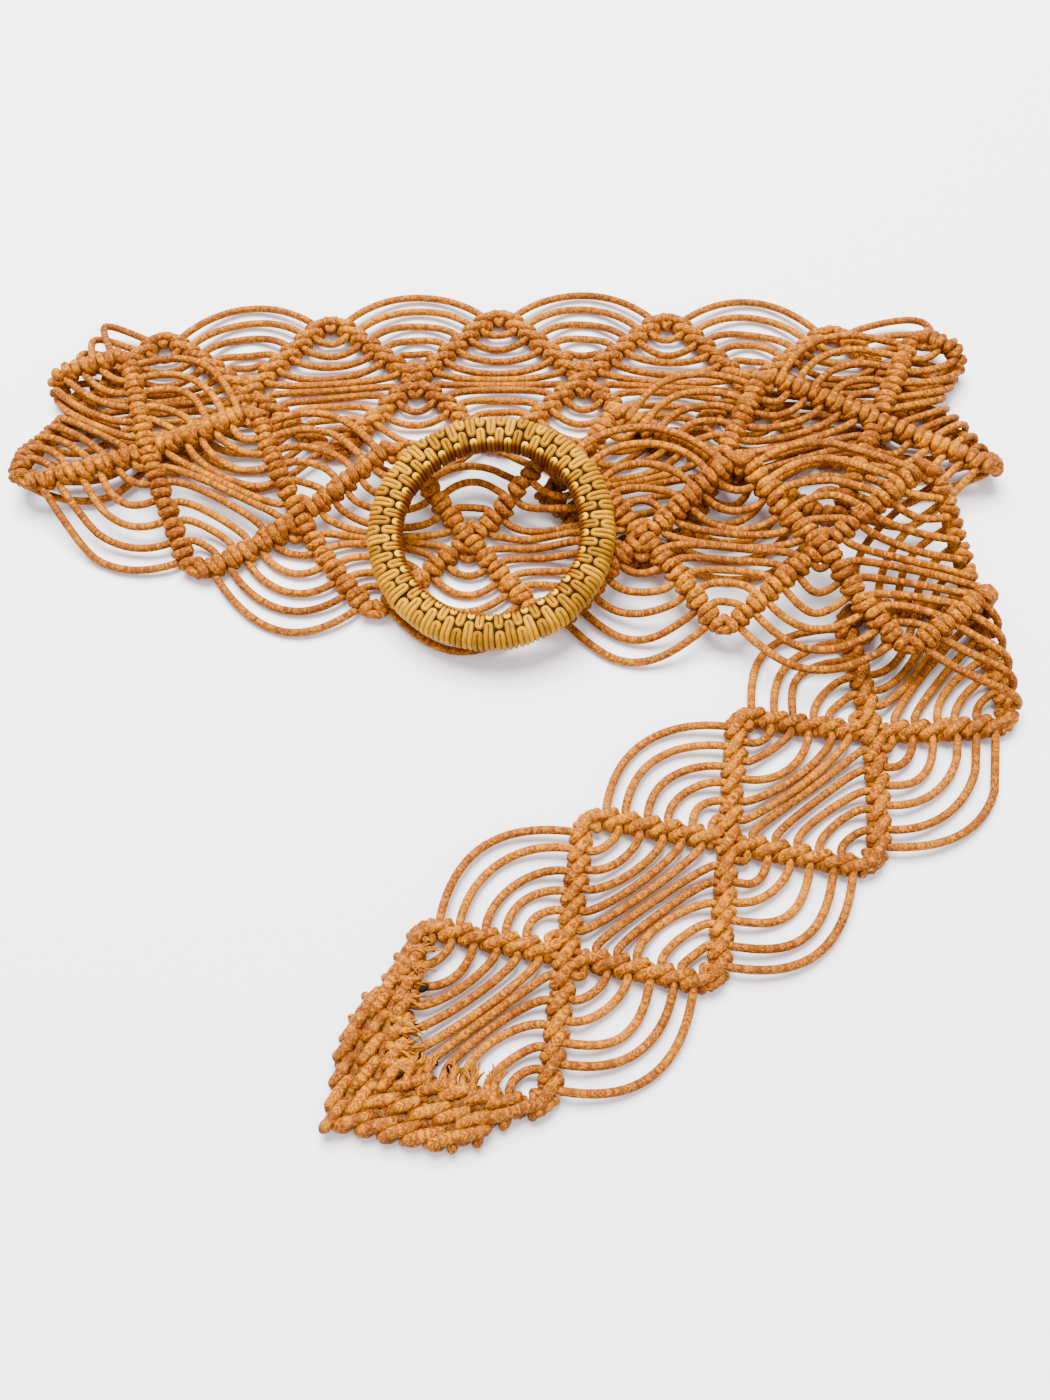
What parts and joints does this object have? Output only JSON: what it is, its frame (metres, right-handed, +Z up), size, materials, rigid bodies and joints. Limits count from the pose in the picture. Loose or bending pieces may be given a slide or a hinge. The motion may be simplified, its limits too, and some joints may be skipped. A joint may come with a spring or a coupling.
{
  "type": "macrame belt",
  "caption": "Wide belt of knotted waxed cord in an open diamond lattice with scalloped edges, a pointed end and a woven ring buckle, lying folded in a zigzag.",
  "frame": {"origin": "on the table under the centre of the folded belt's box", "axes": "+Z up from the table; +X to the right of the picture, along the stacked legs; +Y away from the viewer, so the free end points to -Y and -X"},
  "size_m": [0.3192, 0.2906, 0.029],
  "materials": {
    "cord": "matt",
    "ring": "satin"
  },
  "bodies": {
    "root": {"strap": "cord", "buckle_ring": "ring"}
  },
  "joints": []
}
